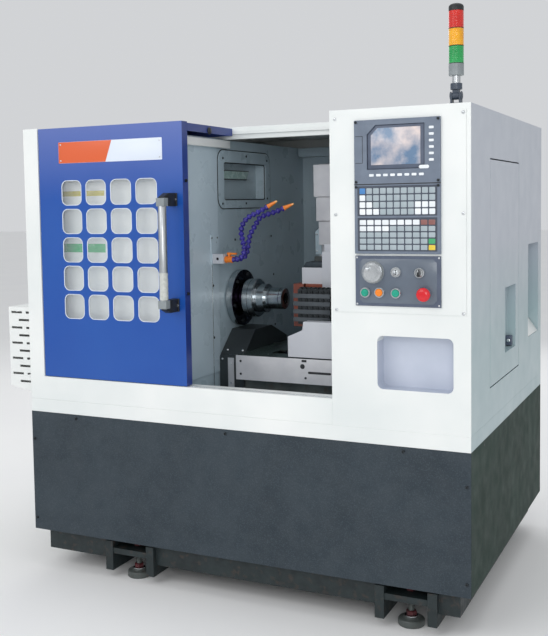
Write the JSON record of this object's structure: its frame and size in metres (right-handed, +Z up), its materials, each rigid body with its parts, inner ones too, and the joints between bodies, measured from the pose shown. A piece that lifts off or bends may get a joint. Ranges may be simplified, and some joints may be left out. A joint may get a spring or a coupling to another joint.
{
  "type": "cnc turning lathe",
  "caption": "Enclosed turning lathe with sliding windowed door, spindle, gang tool slides, control panel and folding signal tower.",
  "frame": {"origin": "centre of the overall box, on the floor", "axes": "+X to the right seen from the front, +Y to the back, +Z up"},
  "size_m": [1.782, 1.252, 1.868],
  "materials": {
    "white_paint": "satin powder coat",
    "dark_paint": "fine textured powder coat",
    "blue_paint": "gloss paint",
    "grey_paint": "satin paint",
    "black_steel": "black oxide and paint",
    "base_iron": "painted casting",
    "bright_steel": "ground",
    "polished_steel": "turned and polished",
    "silver_tube": "anodised",
    "controller_plastic": "moulded",
    "panel_film": "printed film",
    "clear_pane": "clear sheet",
    "red_plastic": "moulded",
    "green_plastic": "moulded",
    "amber_plastic": "moulded",
    "signal_plastic": "moulded lens",
    "black_plastic": "moulded",
    "grey_plastic": "moulded",
    "copper_brown": "anti-rust coated",
    "hose_plastic": "moulded",
    "belt_rubber": "moulded",
    "sign_face": "plain plate",
    "foot_iron": "blackened"
  },
  "bodies": {
    "cabinet": {"levelling_feet": "foot_iron", "machine_base": "base_iron", "face_skirts": "dark_paint", "side_skirts": "dark_paint", "base_band": "white_paint", "front_frame": "white_paint", "fixed_front_panel": "grey_paint", "control_cabinet": "white_paint", "control_panel": "white_paint", "controller": "controller_plastic", "operator_panel": "panel_film", "right_side_panel": "white_paint", "left_side_panel": "white_paint", "louver_guard": "white_paint", "rear_panel": "white_paint", "roof_panel": "white_paint", "door_rails": "bright_steel", "spindle_wall": "grey_paint", "wall_hatch": "grey_paint", "chamber_liner": "grey_paint", "chip_guard": "black_steel", "way_cover": "bright_steel", "bed_casting": "base_iron", "bed_rails": "bright_steel", "headstock": "base_iron", "spindle_bearings": "polished_steel", "spindle_cover": "black_steel", "spindle_motor": "black_steel", "drive_belt": "belt_rubber", "coolant_block": "silver_tube", "coolant_hoses": "hose_plastic", "tower_base": "black_plastic", "fasteners": "bright_steel"},
    "door": {"sliding_door": "blue_paint", "door_pane": "clear_pane", "door_handle": "silver_tube", "sign_plate": "sign_face"},
    "spindle_group": {"spindle": "polished_steel", "spindle_pulley": "bright_steel"},
    "motor_shaft": {"motor_pulley": "bright_steel"},
    "carriage_group": {"carriage": "base_iron", "carriage_cover": "grey_paint"},
    "feed_screw": {"ball_screw": "polished_steel"},
    "cross_group": {"cross_slide": "base_iron", "column_cover": "grey_paint"},
    "vertical_group": {"vertical_slide": "base_iron", "tool_block": "copper_brown", "gang_block": "black_steel", "tool_bits": "bright_steel"},
    "stop": {"stop_button": "red_plastic"},
    "start": {"start_button": "green_plastic"},
    "hold": {"hold_button": "amber_plastic"},
    "reset": {"reset_button": "green_plastic"},
    "wheel": {"handwheel": "polished_steel"},
    "key": {"key_switch": "polished_steel"},
    "selector": {"selector_switch": "black_plastic"},
    "service_leaf": {"service_door": "white_paint"},
    "lever": {"valve_lever": "amber_plastic"},
    "tower": {"tower_pole": "grey_plastic", "signal_lights": "signal_plastic"}
  },
  "joints": [
    {"name": "door_slide", "type": "slide", "parent": "cabinet", "child": "door", "axis": [1, 0, 0], "range_m": [0, 0.508]},
    {"name": "spindle_spin", "type": "hinge", "parent": "cabinet", "child": "spindle_group", "pos_m": [-0.299, -0.068, 0.957], "axis": [1, 0, 0], "continuous": true},
    {"name": "motor_spin", "type": "hinge", "parent": "cabinet", "child": "motor_shaft", "pos_m": [-0.399, 0.318, 0.8], "axis": [1, 0, 0], "continuous": true},
    {"name": "carriage_slide", "type": "slide", "parent": "cabinet", "child": "carriage_group", "axis": [1, 0, 0], "range_m": [-0.04, 0.18]},
    {"name": "screw_spin", "type": "hinge", "parent": "cabinet", "child": "feed_screw", "pos_m": [0.301, 0.038, 0.745], "axis": [1, 0, 0], "range_deg": [-730, 3250]},
    {"name": "cross_slide_move", "type": "slide", "parent": "carriage_group", "child": "cross_group", "axis": [0, 1, 0], "range_m": [-0.08, 0.04]},
    {"name": "vertical_slide_move", "type": "slide", "parent": "cross_group", "child": "vertical_group", "axis": [0, 0, 1], "range_m": [-0.02, 0.03]},
    {"name": "stop_press", "type": "slide", "parent": "cabinet", "child": "stop", "axis": [0, 1, 0], "range_m": [0, 0.005], "stiffness_N_per_m": 800},
    {"name": "start_press", "type": "slide", "parent": "cabinet", "child": "start", "axis": [0, 1, 0], "range_m": [0, 0.003], "stiffness_N_per_m": 800},
    {"name": "hold_press", "type": "slide", "parent": "cabinet", "child": "hold", "axis": [0, 1, 0], "range_m": [0, 0.003], "stiffness_N_per_m": 800},
    {"name": "reset_press", "type": "slide", "parent": "cabinet", "child": "reset", "axis": [0, 1, 0], "range_m": [0, 0.003], "stiffness_N_per_m": 800},
    {"name": "wheel_turn", "type": "hinge", "parent": "cabinet", "child": "wheel", "pos_m": [0.601, -0.562, 1.095], "axis": [0, 1, 0], "continuous": true},
    {"name": "key_turn", "type": "hinge", "parent": "cabinet", "child": "key", "pos_m": [0.672, -0.562, 1.096], "axis": [0, 1, 0], "range_deg": [0, 90]},
    {"name": "selector_turn", "type": "hinge", "parent": "cabinet", "child": "selector", "pos_m": [0.743, -0.562, 1.095], "axis": [0, 1, 0], "range_deg": [-45, 45]},
    {"name": "service_swing", "type": "hinge", "parent": "cabinet", "child": "service_leaf", "pos_m": [0.879, -0.28, 1.075], "axis": [0, 0, 1], "range_deg": [-90, 0]},
    {"name": "lever_turn", "type": "hinge", "parent": "cabinet", "child": "lever", "pos_m": [-0.034, -0.254, 1.13], "axis": [0, 0, 1], "range_deg": [0, 90]},
    {"name": "tower_fold", "type": "hinge", "parent": "cabinet", "child": "tower", "pos_m": [0.837, -0.492, 1.606], "axis": [1, 0, 0], "range_deg": [-90, 0]}
  ],
  "couplings": [
    {"joint": "motor_spin", "follows": "spindle_spin", "ratio": 1.7273},
    {"joint": "screw_spin", "follows": "carriage_slide", "rad_per_m": 314.16}
  ]
}
